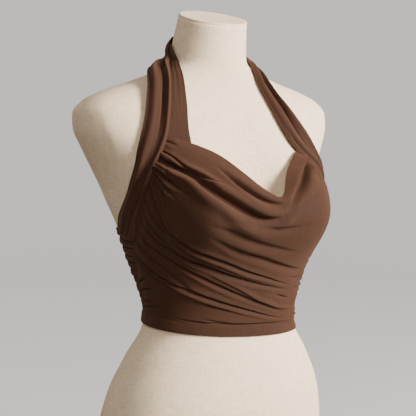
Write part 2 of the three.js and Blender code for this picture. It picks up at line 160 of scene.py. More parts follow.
# Lines of the drape from the cowl's edge (0) to the hem seam (1), through three places on the body.
DRAPE = table("v right a_angle a_z b_angle b_z c_angle c_z left", [
    (0, 506, -11, 482, 3, 423, 11, 452, 484),
    (0.08, 493, -20, 452, 3, 413, 17, 441, 469),
    (0.16, 476, -22, 431, 4, 398, 19, 427, 460),
    (0.26, 464, -24, 424, 6, 385, 28, 389, 418),
    (0.36, 456, -28, 390, 8, 360, 34, 351, 352),
    (0.46, 449, -32, 375, 8, 338, 36, 329, 330),
    (0.54, 442, -42, 362, 4, 323, 34, 311, 310),
    (0.64, 406, -42, 346, 4, 309, 34, 299, 296),
    (0.74, 368, -42, 326, 4, 284, 34, 265, 268),
    (0.83, 350, -44, 300, 4, 269, 36, 257, 258),
    (0.9, 312, -46, 277, 4, 258, 36, 252, 252),
    (1, 262, -50, 254, 0, 250, 34, 247, 246),
])
# Where those lines' ends and three places are, as shares from the wearer's right to the left.
DRAPE_PLACES = (0, 0.3, 0.6, 0.8, 1)
BUST = {"z": 400, "apart": 87, "reach": 64, "spread": 59, "above": 64, "below": 48, "cloth_below": 58}
NECK = {"cut_height": 666, "cut_tilt": math.radians(14.5), "tilt_from": 600}
# The room under the cloth, and the gap where a panel's lower edge stops above the hem band.
CLEAR = 0.8
HEM_SEAM = 0.6
HEM = {"height": 16, "front": 240.7, "per_x": -0.063, "per_y": 0.079}
BACK_CORNER = 368


def smooth(low, high, value):
    """0 below low, 1 above high and an easy slope between."""
    share = np.clip((np.asarray(value, float) - low) / (high - low), 0, 1)
    return share * share * (3 - 2 * share)


def rows_at(columns, key, values):
    """Every column of a table at these values of its key column, along monotone cubic curves."""
    knots = columns[key]
    at = np.clip(np.asarray(values, float), knots[0], knots[-1])
    i = np.clip(np.searchsorted(knots, at, side="right") - 1, 0, len(knots) - 2)
    step = (knots[1:] - knots[:-1])[i]
    t = (at - knots[i]) / step
    found = {}
    for name, heights in columns.items():
        slopes = np.diff(heights) / np.diff(knots)
        before, after = slopes[:-1], slopes[1:]
        same = before * after > 0
        between = np.where(same, 2 * before * after / np.where(same, before + after, 1), 0)
        tangents = np.concatenate([slopes[:1], between, slopes[-1:]])
        found[name] = (
            (1 + 2 * t) * (1 - t) ** 2 * heights[i]
            + t * (1 - t) ** 2 * step * tangents[i]
            + t * t * (3 - 2 * t) * heights[i + 1]
            + t * t * (t - 1) * step * tangents[i + 1]
        )
    return found


def points_of(x, y, z):
    """Points from their three coordinates, spread over each other."""
    return np.stack(np.broadcast_arrays(x, y, z), axis=-1).astype(float)


def unit(vectors):
    """The same directions, one long."""
    return vectors / np.maximum(np.linalg.norm(vectors, axis=-1, keepdims=True), 1e-9)


def bust_reach(x, z, half, taut):
    """How far the bust stands forward; taut cloth spans the hollow between the cups."""
    below = BUST["cloth_below"] if taut else BUST["below"]
    fall = np.where(z > BUST["z"], BUST["above"], below)
    up_down = np.exp(-(((z - BUST["z"]) / fall) ** 2))
    cups = sum(np.exp(-(((x - side * BUST["apart"]) / BUST["spread"]) ** 2)) for side in (-1, 1))
    span = np.where(np.abs(x) < BUST["apart"], 0.84 + 0.16 * (x / BUST["apart"]) ** 2, 0)
    edge = 1 - np.clip(np.abs(x) / half, 0, 1) ** 6
    return BUST["reach"] * up_down * edge * (np.maximum(cups, span) if taut else cups)


def body_points(angle, z, taut=True):
    """Points on the body at these angles and heights."""
    part = rows_at(FORM_SECTIONS, "z", z)
    turn = np.radians(angle)
    sine, cosine = np.sin(turn), np.cos(turn)
    x = part["half"] * np.sign(sine) * np.abs(sine) ** (2 / part["power"])
    along = np.abs(cosine) ** (2 / part["power"])
    reach = bust_reach(x, z, part["half"], taut)
    front = part["set"] - part["front"] * along - reach
    return points_of(x, np.where(cosine < 0, part["set"] + part["back"] * along, front), z)


def body_ways(angle, z, taut=True):
    """The way out of the body at these angles and heights."""
    across = body_points(angle + 0.5, z, taut) - body_points(angle - 0.5, z, taut)
    up = body_points(angle, z + 1, taut) - body_points(angle, z - 1, taut)
    return unit(np.cross(across, up))


def angles_at(points):
    """The angles round the body of points on it."""
    part = rows_at(FORM_SECTIONS, "z", points[..., 2])
    sine = np.clip(np.abs(points[..., 0]) / part["half"], 0, 1) ** (part["power"] / 2)
    turn = np.degrees(np.arcsin(sine))
    turn = np.where(points[..., 1] > part["set"], 180 - turn, turn)
    return np.sign(points[..., 0]) * turn


def body_level(points):
    """Zero on the taut body and more outside it."""
    part = rows_at(FORM_SECTIONS, "z", points[..., 2])
    behind = points[..., 1] > part["set"]
    reach = np.where(behind, 0, bust_reach(points[..., 0], points[..., 2], part["half"], True))
    deep = np.where(behind, part["back"], part["front"])
    x = np.abs(points[..., 0]) / part["half"]
    y = np.abs(points[..., 1] - part["set"] + reach) / deep
    return (x ** part["power"] + y ** part["power"]) ** (1 / part["power"]) - 1


def body_slope(points):
    """Which way, and how fast, the body's level rises at these points."""
    steps = 0.5 * np.eye(3)
    return np.stack([body_level(points + step) - body_level(points - step) for step in steps], axis=-1)


def snapped(points):
    """The nearest points of the taut body and the way out there."""
    points = np.array(points, float)
    for _ in range(6):
        slope = body_slope(points)
        points = points - slope * (body_level(points) / (slope ** 2).sum(-1))[..., None]
    return points, unit(body_slope(points))


def line_points(line, z):
    """Where a seam's line lies on the taut body at these heights."""
    at = rows_at(line, "z", z)
    return snapped(points_of(at["x"], at["y"], at["z"]))[0]


def hem_height(angle, above):
    """The height of the top's lower edge at these angles, and what is above it."""
    edge = body_points(angle, np.full(np.shape(angle), HEM["front"]))
    return HEM["front"] + HEM["per_x"] * edge[..., 0] + HEM["per_y"] * edge[..., 1] + above


def drape_places(u, v):
    """The angle and height of spots of the front: u runs to the wearer's left and v down along the drape."""
    lines = rows_at(DRAPE, "v", v)
    ends = [line_points(RIGHT_LINE, lines["right"]), line_points(LEFT_LINE, lines["left"])]
    starts, stops = [angles_at(end) for end in ends]
    angle, height = np.empty((2, len(v), len(u)))
    for i in range(len(v)):
        middle_angles = [lines["a_angle"][i], lines["b_angle"][i], lines["c_angle"][i]]
        middle_heights = [lines["a_z"][i], lines["b_z"][i], lines["c_z"][i]]
        row = {
            "u": np.array(DRAPE_PLACES, float),
            "angle": np.array([starts[i], *middle_angles, stops[i]]),
            "z": np.array([ends[0][i, 2], *middle_heights, ends[1][i, 2]]),
        }
        found = rows_at(row, "u", u)
        angle[i], height[i] = found["angle"], found["z"]
    return angle, height


# Creases of the front, traced where the photograph shows them and carried on round the sides. Each is its
# path, as shares across and down the sheet, then its depth, its half width and the height of the roll below,
# all to be taken FRONT_RELIEF times. The other sheets' creases are written the same way.
FRONT_CREASES = [
    ([(0.3, 0.04), (0.4, 0.054), (0.48, 0.062), (0.57, 0.068), (0.64, 0.06), (0.7, 0.052)], 5, 3.6, 1.5),
    ([(-0.02, 0.112), (0.06, 0.117), (0.14, 0.134), (0.22, 0.13), (0.3, 0.11), (0.38, 0.08)], 3.6, 2, 1.2),
    ([(-0.02, 0.165), (0.06, 0.168), (0.16, 0.156), (0.23, 0.193), (0.28, 0.23), (0.36, 0.236),
      (0.47, 0.2), (0.55, 0.158), (0.64, 0.12), (0.74, 0.14)], 10, 5, 4.5),
    ([(1.02, 0.06), (0.94, 0.08), (0.86, 0.09), (0.78, 0.098), (0.7, 0.088), (0.62, 0.088)], 9, 4.4, 4),
    ([(0.3, 0.32), (0.42, 0.288), (0.48, 0.27), (0.58, 0.242), (0.7, 0.24), (0.84, 0.245)], 2.6, 4.2, 1),
    ([(0.2, 0.4), (0.33, 0.352), (0.42, 0.344), (0.58, 0.355), (0.76, 0.35)], 2.4, 4.6, 0.7),
    ([(0.68, 0.128), (0.8, 0.177), (0.88, 0.2)], 1.2, 2.2, 0.4),
    ([(1.02, 0.12), (0.95, 0.15), (0.91, 0.19)], 2.6, 1.7, 1.2),
    ([(1.02, 0.165), (0.95, 0.18), (0.89, 0.22)], 2.2, 1.6, 0.8),
    ([(-0.02, 0.12), (0.03, 0.17), (0.07, 0.25)], 2, 1.7, 0.8),
    ([(-0.02, 0.26), (0.06, 0.31), (0.15, 0.325)], 3.4, 2, 1.4),
    ([(-0.02, 0.3), (0.05, 0.385), (0.11, 0.44)], 3, 1.8, 1.2),
    ([(-0.02, 0.35), (0.05, 0.475), (0.12, 0.56)], 3, 1.8, 1.2),
    ([(0.24, 0.46), (0.38, 0.427), (0.5, 0.427), (0.62, 0.45), (0.75, 0.46), (0.95, 0.47)], 2.7, 4, 0.8),
    ([(-0.02, 0.47), (0.04, 0.565), (0.13, 0.605), (0.18, 0.6), (0.26, 0.56), (0.35, 0.517),
      (0.44, 0.506), (0.6, 0.542), (0.88, 0.59)], 3.6, 2, 2.2),
    ([(-0.02, 0.652), (0.1, 0.674), (0.2, 0.664), (0.3, 0.638), (0.4, 0.6), (0.52, 0.613), (0.62, 0.633),
      (0.88, 0.638)], 3.2, 2.4, 1.2),
    ([(0.25, 0.66), (0.38, 0.62), (0.5, 0.628)], 2.4, 3.5, 0),
    ([(-0.02, 0.688), (0.08, 0.712), (0.2, 0.714), (0.34, 0.712), (0.45, 0.72), (0.6, 0.733),
      (0.73, 0.73), (0.87, 0.75)], 3, 2.2, 1),
    ([(0.36, 0.632), (0.51, 0.672), (0.62, 0.708), (0.8, 0.708), (0.98, 0.743)], -2.4, 2.5, 0),
    ([(-0.02, 0.722), (0.05, 0.747), (0.12, 0.75)], 2.5, 1.8, 0.8),
    ([(-0.02, 0.752), (0.08, 0.772), (0.2, 0.782), (0.32, 0.806), (0.42, 0.81)], 1.8, 3, 0.5),
    ([(-0.02, 0.824), (0.1, 0.83), (0.25, 0.817), (0.4, 0.81), (0.52, 0.812), (0.65, 0.83),
      (0.86, 0.845)], 3.2, 2, 2),
    ([(0.35, 0.845), (0.45, 0.843), (0.55, 0.843)], 1.5, 2.5, 0),
    ([(0.2, 0.965), (0.4, 0.972), (0.56, 0.975), (0.7, 0.95), (0.8, 0.918), (0.94, 0.912)], 2, 1.8, 0.8),
    ([(0.36, 0.938), (0.54, 0.96)], 1.2, 2, 0.4),
    ([(0.68, 0.67), (0.84, 0.679)], 1.8, 1.8, 0.6),
    ([(0.74, 0.51), (0.84, 0.512), (0.9, 0.485), (1.02, 0.47)], 3, 2, 0.8),
    ([(0.75, 0.7), (0.84, 0.702), (0.88, 0.675), (1.02, 0.65)], 2.5, 2, 0.8),
    ([(0.78, 0.425), (0.87, 0.4), (1.02, 0.375)], 3, 2.5, 0.5),
    ([(1.02, 0.55), (0.93, 0.56), (0.84, 0.555)], 2.4, 2, 0.8),
    ([(1.02, 0.6), (0.92, 0.625), (0.8, 0.622)], 2.4, 2, 0.8),
    ([(1.02, 0.79), (0.93, 0.79), (0.8, 0.785)], 2.4, 2, 0.8),
    ([(1.02, 0.87), (0.92, 0.875), (0.82, 0.87)], 2.2, 2, 0.8),
    ([(-0.02, 0.92), (0.1, 0.853)], 2, 1.6, 0.8),
    ([(-0.02, 0.94), (0.15, 0.87)], 2, 1.6, 0.8),
    ([(-0.02, 0.968), (0.14, 0.925)], 1.8, 1.5, 0.6),
    ([(-0.02, 0.985), (0.16, 0.94)], 1.5, 1.4, 0.4),
    ([(-0.02, 0.052), (0.09, 0.045)], 1.5, 2.5, 0.5),
    ([(-0.02, 0.2), (0.03, 0.215), (0.1, 0.255)], 2.4, 1.6, 1),
    ([(-0.02, 0.41), (0.04, 0.51), (0.1, 0.575)], 2.6, 1.6, 1),
    ([(-0.02, 0.585), (0.08, 0.617), (0.19, 0.61)], 2, 2.2, 0.8),
    ([(-0.02, 0.615), (0.1, 0.657), (0.25, 0.655)], 2.5, 1.8, 0.8),
    ([(0.07, 0.634), (0.19, 0.642)], 1.5, 2.5, 0),
]
# How far the front stands off the form between its creases, down its two sides and its middle.
FRONT_EASE = table("v right middle left", [
    (0, 3, 7, 3),
    (0.035, 5, 9.5, 5.5),
    (0.08, 4.5, 8, 5.5),
    (0.125, 5.5, 9.5, 7.5),
    (0.18, 5, 6.5, 8),
    (0.26, 4.8, 5, 8.5),
    (0.36, 4.8, 5, 8.5),
    (0.46, 5, 5, 7.5),
    (0.58, 5, 4.8, 7.5),
    (0.8, 4.5, 4.5, 5.5),
    (0.93, 3, 2.8, 3.5),
    (0.975, 1.6, 1.6, 2),
    (1, 0.4, 0.6, 0.4),
])


CREASE_STEPS = 24


def smooth_path(knots, count):
    """Even steps along a soft curve through knots of a sheet's own two directions."""
    knots = np.array(knots, float)
    along = np.concatenate([[0], np.cumsum(np.maximum(np.abs(np.diff(knots, axis=0)).max(1), 1e-6))])
    columns = {"s": along, "a": knots[:, 0], "b": knots[:, 1]}
    found = rows_at(columns, "s", np.linspace(0, along[-1], count))
    return found["a"], found["b"]


def on_sheet(points, across, down):
    """The points of a sheet at these shares across and down it."""
    rows, columns = points.shape[:2]
    row, column = np.clip(down, 0, 1) * (rows - 1), np.clip(across, 0, 1) * (columns - 1)
    i, j = np.minimum(row.astype(int), rows - 2), np.minimum(column.astype(int), columns - 2)
    low, right = (row - i)[:, None], (column - j)[:, None]
    above = points[i, j] * (1 - right) + points[i, j + 1] * right
    below = points[i + 1, j] * (1 - right) + points[i + 1, j + 1] * right
    return above * (1 - low) + below * low


def crease(points, ways, line, depth, half, roll, from_seam):
    """The relief of one crease along a line on the sheet: a trough with a roll on its right, fading out."""
    reach = 4 * half
    near = np.all((points > line.min(0) - reach) & (points < line.max(0) + reach), axis=-1)
    relief = np.zeros(points.shape[:-1])
    spots, outs = points[near], ways[near]
    best = np.full(len(spots), 1e9)
    side = np.zeros(len(spots))
    along = np.zeros(len(spots))
    for i, (start, step) in enumerate(zip(line[:-1], np.diff(line, axis=0))):
        share = np.clip(((spots - start) @ step) / (step @ step), 0, 1)
        away = spots - start - share[:, None] * step
        distance = np.linalg.norm(away, axis=-1)
        closer = distance < best
        best[closer] = distance[closer]
        over = (np.cross(step, outs) * away).sum(-1)
        side[closer] = np.sign(over[closer])
        along[closer] = (i + share[closer]) / (len(line) - 1)
    off = best * side
    fade = np.where(from_seam, 1, smooth(0, 0.35, along)) * smooth(0, 0.5, 1 - along)
    width = np.where(from_seam, 0.5 + 0.5 * smooth(0.05, 0.5, along), 1) * (0.6 + 0.4 * fade)
    half = half * width
    trough = -depth * np.exp(-((off / half) ** 2))
    low_roll = roll * np.exp(-(((off - 2.3 * half) / (1.5 * half)) ** 2))
    high_roll = 0.5 * roll * np.exp(-(((off + 2.3 * half) / (1.8 * half)) ** 2))
    relief[near] = (trough + low_roll + high_roll) * fade
    return relief


def evened(grid, down, across):
    """A sheet's grid with each inner point drawn between its neighbours this many times down and across."""
    for _ in range(down):
        grid[1:-1] = (grid[:-2] + 2 * grid[1:-1] + grid[2:]) / 4
    for _ in range(across):
        grid[:, 1:-1] = (grid[:, :-2] + 2 * grid[:, 1:-1] + grid[:, 2:]) / 4
    return grid


def creases_of(points, ways, creases, tuck=0):
    """The relief of all creases of a sheet. Their across places leave out what is tucked under its ends."""
    relief = np.zeros(points.shape[:-1])
    for path, depth, half, roll in creases:
        across, down = smooth_path(path, CREASE_STEPS)
        line = on_sheet(points, (across + tuck) / (1 + 2 * tuck), down)
        from_seam = not 0 < path[0][0] < 1 or not 0 < path[0][1] < 1
        relief += crease(points, ways, line, depth, half, roll, from_seam)
    return relief


def pressed_in(height, floor):
    """Keeps cloth from sinking below its floor, softly."""
    over = height - floor
    return floor + np.where(over > 1, over, np.exp(np.minimum(over, 1) - 1))


def lowered(points, ways, height, lean):
    """Cloth standing out by its height, with its crests leaning down over the creases below them."""
    down = points_of(0, 0, -1) - ways * (points_of(0, 0, -1) * ways).sum(-1, keepdims=True)
    return points + ways * height[..., None] + down * (lean * height)[..., None]


def new_group(name, inputs, outputs):
    """An empty shader node group with named inputs and outputs, and its two end nodes."""
    group = bpy.data.node_groups.new(name, "ShaderNodeTree")
    for label, kind, value in inputs:
        socket = group.interface.new_socket(label, in_out="INPUT", socket_type=kind)
        socket.default_value = value
    for label, kind in outputs:
        group.interface.new_socket(label, in_out="OUTPUT", socket_type=kind)
    return group, group.nodes.new("NodeGroupInput"), group.nodes.new("NodeGroupOutput")


def math_node(tree, operation, first, second=None):
    """A math node fed by sockets or plain numbers; gives its result's socket."""
    node = tree.nodes.new("ShaderNodeMath")
    node.operation = operation
    for place, value in enumerate((first, second)):
        if value is None:
            continue
        if isinstance(value, (int, float)):
            node.inputs[place].default_value = value
        else:
            tree.links.new(value, node.inputs[place])
    return node.outputs[0]


def noise(tree, place, scale, stretch=(1, 1, 1), detail=2):
    """Noise over a place, stretched along its axes; gives the value's socket."""
    mapping = tree.nodes.new("ShaderNodeMapping")
    mapping.inputs["Scale"].default_value = stretch
    tree.links.new(place, mapping.inputs["Vector"])
    speckle = tree.nodes.new("ShaderNodeTexNoise")
    speckle.inputs["Scale"].default_value = scale
    speckle.inputs["Detail"].default_value = detail
    tree.links.new(mapping.outputs[0], speckle.inputs["Vector"])
    return speckle.outputs[0]


def make_weave_group():
    """Plain weave with uneven threads. Gives a height and a shade from 0 to 1, over cloth in metres."""
    group, start, end = new_group(
        "plain_weave",
        [("Cloth", "NodeSocketVector", (0, 0, 0)), ("Threads", "NodeSocketFloat", 1200.0)],
        [("Height", "NodeSocketFloat"), ("Shade", "NodeSocketFloat")],
    )
    cloth, threads = start.outputs["Cloth"], start.outputs["Threads"]
    split = group.nodes.new("ShaderNodeSeparateXYZ")
    group.links.new(cloth, split.inputs[0])
    wander = math_node(group, "MULTIPLY", noise(group, cloth, 120), 0.0012)
    phases = []
    for axis in ("X", "Y"):
        turned = math_node(group, "ADD", split.outputs[axis], wander)
        waves = math_node(group, "MULTIPLY", turned, threads)
        phases.append(math_node(group, "SINE", math_node(group, "MULTIPLY", waves, math.pi)))
    crossing = math_node(group, "ABSOLUTE", math_node(group, "MULTIPLY", phases[0], phases[1]))
    warp = noise(group, cloth, 1, (900, 60, 1))
    weft = noise(group, cloth, 1, (60, 900, 1))
    slubs = math_node(group, "MULTIPLY", math_node(group, "ADD", warp, weft), 0.5)
    height = math_node(group, "ADD", math_node(group, "MULTIPLY", crossing, 0.5), slubs)
    group.links.new(height, end.inputs["Height"])
    group.links.new(slubs, end.inputs["Shade"])
    return group


def make_knit_group():
    """Fine jersey stitches in upright wales. Gives a height and a soft shade, over cloth in metres."""
    group, start, end = new_group(
        "jersey_knit",
        [("Cloth", "NodeSocketVector", (0, 0, 0)), ("Wales", "NodeSocketFloat", 1300.0)],
        [("Height", "NodeSocketFloat"), ("Shade", "NodeSocketFloat")],
    )
    cloth, wales = start.outputs["Cloth"], start.outputs["Wales"]
    split = group.nodes.new("ShaderNodeSeparateXYZ")
    group.links.new(cloth, split.inputs[0])
    across = math_node(group, "MULTIPLY", math_node(group, "MULTIPLY", split.outputs["X"], wales), math.pi)
    rib = math_node(group, "ABSOLUTE", math_node(group, "SINE", across))
    lean = math_node(group, "MULTIPLY", rib, 0.8)
    down = math_node(group, "MULTIPLY", math_node(group, "MULTIPLY", split.outputs["Y"], wales), 4.0)
    stitch = math_node(group, "ABSOLUTE", math_node(group, "SINE", math_node(group, "ADD", down, lean)))
    yarn = math_node(group, "ADD", rib, math_node(group, "MULTIPLY", stitch, 0.5))
    streaks = noise(group, cloth, 1, (500, 25, 1))
    clouds = noise(group, cloth, 9, detail=3)
    shade = math_node(group, "MULTIPLY", math_node(group, "ADD", streaks, clouds), 0.5)
    group.links.new(math_node(group, "ADD", yarn, streaks), end.inputs["Height"])
    group.links.new(shade, end.inputs["Shade"])
    return group


def fabric(name, group, colours, gloss, bump, depth):
    """A cloth finish: two shades mixed by the weave's own unevenness, with its relief as a bump."""
    finish = bpy.data.materials.new(name)
    finish.use_nodes = True
    tree = finish.node_tree
    shader = tree.nodes["Principled BSDF"]
    for label, value in gloss.items():
        shader.inputs[label].default_value = value
    place = tree.nodes.new("ShaderNodeUVMap")
    place.uv_map = "cloth"
    weave = tree.nodes.new("ShaderNodeGroup")
    weave.node_tree = group
    tree.links.new(place.outputs[0], weave.inputs["Cloth"])
    shades = tree.nodes.new("ShaderNodeValToRGB")
    for stop, at, colour in zip(shades.color_ramp.elements, (0.3, 0.7), colours):
        stop.position = at
        stop.color = (*colour, 1)
    tree.links.new(weave.outputs["Shade"], shades.inputs[0])
    tree.links.new(shades.outputs[0], shader.inputs["Base Color"])
    relief = tree.nodes.new("ShaderNodeBump")
    relief.inputs["Strength"].default_value = bump
    relief.inputs["Distance"].default_value = depth
    tree.links.new(weave.outputs["Height"], relief.inputs["Height"])
    tree.links.new(relief.outputs[0], shader.inputs["Normal"])
    return finish


linen = fabric(
    "linen",
    make_weave_group(),
    ((0.68, 0.48, 0.29), (0.99, 0.81, 0.59)),
    {"Roughness": 0.9, "Specular IOR Level": 0.15},
    0.5,
    0.0004,
)
jersey = fabric(
    "jersey",
    make_knit_group(),
    ((0.051, 0.0212, 0.0112), (0.072, 0.0315, 0.0175)),
    {
        "Roughness": 0.8,
        "Diffuse Roughness": 1,
        "Specular IOR Level": 0.12,
        "Sheen Weight": 0.05,
        "Sheen Roughness": 0.5,
        "Sheen Tint": (0.95, 0.6, 0.4, 1),
    },
    0.35,
    0.00025,
)


def mesh_piece(name, shape, finish, steps=()):
    """Makes a finished bmesh an object at the origin, with its finish and its modifiers."""
    mesh = bpy.data.meshes.new(name)
    shape.to_mesh(mesh)
    shape.free()
    mesh.shade_smooth()
    piece = bpy.data.objects.new(name, mesh)
    bpy.context.scene.collection.objects.link(piece)
    mesh.materials.append(finish)
    for kind, values in steps:
        step = piece.modifiers.new(kind.title(), kind)
        for key, value in values.items():
            setattr(step, key, value)
    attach(piece, "root")
    return piece


def grid_shape(points, cloth_size, wrapped=False):
    """A sheet through a grid of points. Rows run down and columns to the wearer's left, seen from outside."""
    rows, columns = points.shape[:2]
    shape = bmesh.new()
    threads = shape.loops.layers.uv.new("cloth")
    bmesh.ops.create_grid(shape, x_segments=columns - 1, y_segments=rows - 1, size=1)
    for vert in shape.verts:
        across = (vert.co.x + 1) / 2
        down = (1 - vert.co.y) / 2
        spot = points[round(down * (rows - 1)), round(across * (columns - 1))]
        vert.co = Vector(spot * MM)
        for loop in vert.link_loops:
            loop[threads].uv = (across * cloth_size[0], (1 - down) * cloth_size[1])
    if wrapped:
        bmesh.ops.remove_doubles(shape, verts=shape.verts, dist=1e-6)
    return shape


# A sheet's rim: the least angle of an edge that is rounded, and the rounding as a share of the thickness.
RIM = {"angle": math.radians(65), "round": 0.3, "segments": 2}


def cloth_piece(name, points, cloth_size, thick, wrapped=False):
    """A sheet of jersey with its thickness to the inside and its rim rounded."""
    rounding = {
        "width": RIM["round"] * thick * MM,
        "segments": RIM["segments"],
        "limit_method": "ANGLE",
        "angle_limit": RIM["angle"],
    }
    steps = [
        ("SOLIDIFY", {"thickness": thick * MM, "offset": -1, "use_even_offset": False}),
        ("BEVEL", rounding),
    ]
    piece = mesh_piece(name, grid_shape(points, cloth_size, wrapped), jersey, steps)
    return piece


FRONT_GRID = (288, 148)
FRONT_THICK = 0.9
# What the front hides under each strap as a share of its width, and the degrees that a whole width turns.
FRONT_TUCK = 0.014
FRONT_TURN = 170
# How often the front is smoothed down and across, and how far its crests lean down over the creases.
FRONT_EVENED = (12, 24)
FRONT_LEAN = 0.7
FRONT_RELIEF = 1.3
# The deepest that a crease of the front or the back sinks.
PANEL_FLOOR = -0.5


def front_places(u, v):
    """Where spots of the front lie on the body, with the way out. Past its seams it runs under the straps."""
    angle, height = drape_places(np.clip(u, 0, 1), v)
    past = np.minimum(u, 0) + np.maximum(u - 1, 0)
    angle = angle + past * FRONT_TURN
    at_hem = smooth(0.93, 1, v)[:, None]
    height = height + (hem_height(angle, HEM["height"] + HEM_SEAM) - height) * at_hem * (v[:, None] > 0.999)
    return body_points(angle, height), body_ways(angle, height)


def make_front():
    """The cowl and its drape, from the neck edge to the hem seam."""
    rows, columns = FRONT_GRID
    v = np.linspace(0, 1, rows)
    u = np.linspace(-FRONT_TUCK, 1 + FRONT_TUCK, columns)
    points, ways = front_places(u, v)
    points, ways = evened(points, *FRONT_EVENED), unit(evened(ways, *FRONT_EVENED))
    ease = rows_at(FRONT_EASE, "v", v)
    share = np.clip(u, 0, 1)
    side = np.where(share < 0.5, ease["right"][:, None], ease["left"][:, None])
    high = side + (ease["middle"][:, None] - side) * (1 - smooth(0, 0.5, np.abs(share - 0.5)))
    inside = smooth(-FRONT_TUCK, 0.05, u) * smooth(-FRONT_TUCK, 0.05, 1 - u)
    sunk = 1 - smooth(-0.012, 0.012, u) * smooth(-0.012, 0.012, 1 - u)
    high = high * (0.25 + 0.75 * inside) - 0.9 * sunk
    high += FRONT_RELIEF * creases_of(points, ways, FRONT_CREASES, FRONT_TUCK)
    high = pressed_in(high, PANEL_FLOOR)
    return lowered(points, ways, CLEAR + FRONT_THICK + high, FRONT_LEAN)


STRAP_GRID = (260, 56)
STRAP_THICK = 1.6
# How far a strap's end laps over the back, how far it stands off the front, and its creases' floor.
STRAP_LAP = 3
STRAP_OFF = 0.6
STRAP_FLOOR = -0.6


def strap_places(edges, line, toward, t, across):
    """Spots of a strap from the nape (t 0) to the back's corner (1), across from its outer edge (0)."""
    at = rows_at(edges, "t", t)
    outer = points_of(at["x"], at["y"], at["z"])[:, None]
    inner = line_points(line, at["inner"])[:, None]
    rough = outer + (inner - outer) * across[None, :, None]
    points = snapped(rough)[0]
    angle = angles_at(points)
    turned = np.where(angle < 0, angle + 360, angle)
    end = rows_at(BACK_TOP, "angle", turned)["z"]
    drawn = smooth(0.86, 1, t)[:, None]
    rough[..., 2] += (end - STRAP_LAP - points[..., 2]) * drawn
    points, ways = snapped(rough)
    if toward == "right":
        return points, ways, at["lift"]
    return points[:, ::-1], ways[:, ::-1], at["lift"]


def pleated(across, pleats):
    """How far a strap's pleats stand out at these places across it."""
    bells = []
    for at, half, high in pleats:
        away = np.clip(np.abs(across - at) / half, 0, 1)
        bells.append(high * (1 + np.cos(np.pi * away)) / 2)
    return np.sum(bells, axis=0)


# Each strap's main pleats: their place across it from the wearer's right, half width and height.
PLEATS_RIGHT = [(0.3, 0.26, 5), (0.88, 0.15, 4.5)]
PLEATS_LEFT = [(0.26, 0.26, 5), (0.78, 0.2, 4)]
STRAP_RIGHT_CREASES = [
    ([(0.34, 0.12), (0.26, 0.2), (0.16, 0.28), (0.06, 0.36)], 2.2, 1.5, 0.6),
    ([(0.94, 0.08), (0.86, 0.18), (0.72, 0.29), (0.66, 0.4), (0.62, 0.6)], 5.5, 2.4, 1.2),
    ([(0.97, 0.2), (0.96, 0.3), (0.95, 0.42)], 2, 1.2, 0.4),
    ([(0.52, 0), (0.54, 0.16)], 1, 1.6, 0.4),
    ([(0.72, 0), (0.7, 0.12), (0.76, 0.22)], 1.4, 1.6, 0.5),
    ([(0.3, 0.5), (0.36, 0.66), (0.3, 0.86)], 1, 3.5, 0.8),
    ([(0.82, 0.7), (0.66, 0.84), (0.5, 1.04)], 1.8, 2, 0.8),
    ([(0.5, 0.8), (0.3, 1.04)], 1.4, 2, 0.6),
    ([(0.98, 0.84), (0.86, 1.04)], 1.4, 1.6, 0.6),
]
STRAP_LEFT_CREASES = [
    ([(0.46, 0.08), (0.58, 0.19), (0.62, 0.28), (0.58, 0.38), (0.52, 0.48), (0.5, 0.6),
      (0.48, 0.74)], 6, 2, 1.5),
    ([(0.88, 0.28), (0.82, 0.4), (0.78, 0.54)], 2, 1.4, 0.6),
    ([(0.2, 0.26), (0.26, 0.38), (0.24, 0.48)], 1, 2.6, 0.4),
    ([(0.14, 0.46), (0.15, 0.6), (0.24, 0.76)], 2.2, 1.5, 0.8),
    ([(0.84, 0), (0.86, 0.14), (0.8, 0.26)], 1.2, 1.5, 0.4),
    ([(0.3, 0.72), (0.4, 0.86), (0.5, 1.04)], 1.8, 2, 0.6),
    ([(0.66, 0.76), (0.76, 1.04)], 1.6, 2, 0.6),
]


def make_strap(edges, line, pleats, creases, toward):
    """One strap from the nape to the back's corner, its pleats gathered at both ends."""
    along, wide = STRAP_GRID
    t = np.linspace(0, 1, along)
    across = np.linspace(0, 1, wide)
    points, ways, lift = strap_places(edges, line, toward, t, across)
    points, ways = evened(points, 8, 8), unit(evened(ways, 24, 24))
    inner = across if toward == "right" else 1 - across
    pressed = 0.75 * smooth(0.55, 1, inner) * smooth(0.52, 0.64, t)[:, None]
    high = lift[:, None] * (1 - pressed)
    ends = (0.35 + 0.65 * smooth(0.05, 0.22, t)) * (1 - 0.55 * smooth(0.6, 1, t))
    high = high + pleated(across, pleats) * ends[:, None]
    high += creases_of(points, ways, creases)
    high = pressed_in(high, STRAP_FLOOR) * (1 - 0.6 * smooth(0.9, 1, t))[:, None]
    high = high * (0.55 + 0.45 * smooth(0, 0.16, 1 - inner))
    return points + ways * (CLEAR + STRAP_THICK + STRAP_OFF + high)[..., None]


UNDER_GRID = (90, 20)
UNDER_THICK = 0.9
# How far the inner layer runs on under the strap as a share of what shows, its stand and its creases' floor.
UNDER_TUCK = 0.25
UNDER_OFF = 0.7
UNDER_FLOOR = -0.4
UNDER_CREASES = [
    ([(0.24, 0.02), (0.26, 0.5), (0.27, 0.98)], 2.4, 1.8, 0.3),
    ([(0.55, 0), (0.5, 0.3), (0.6, 0.7)], 0.9, 1.6, 0.5),
    ([(0.8, 0.1), (0.82, 0.5), (0.75, 0.9)], 0.6, 1.4, 0.4),
]


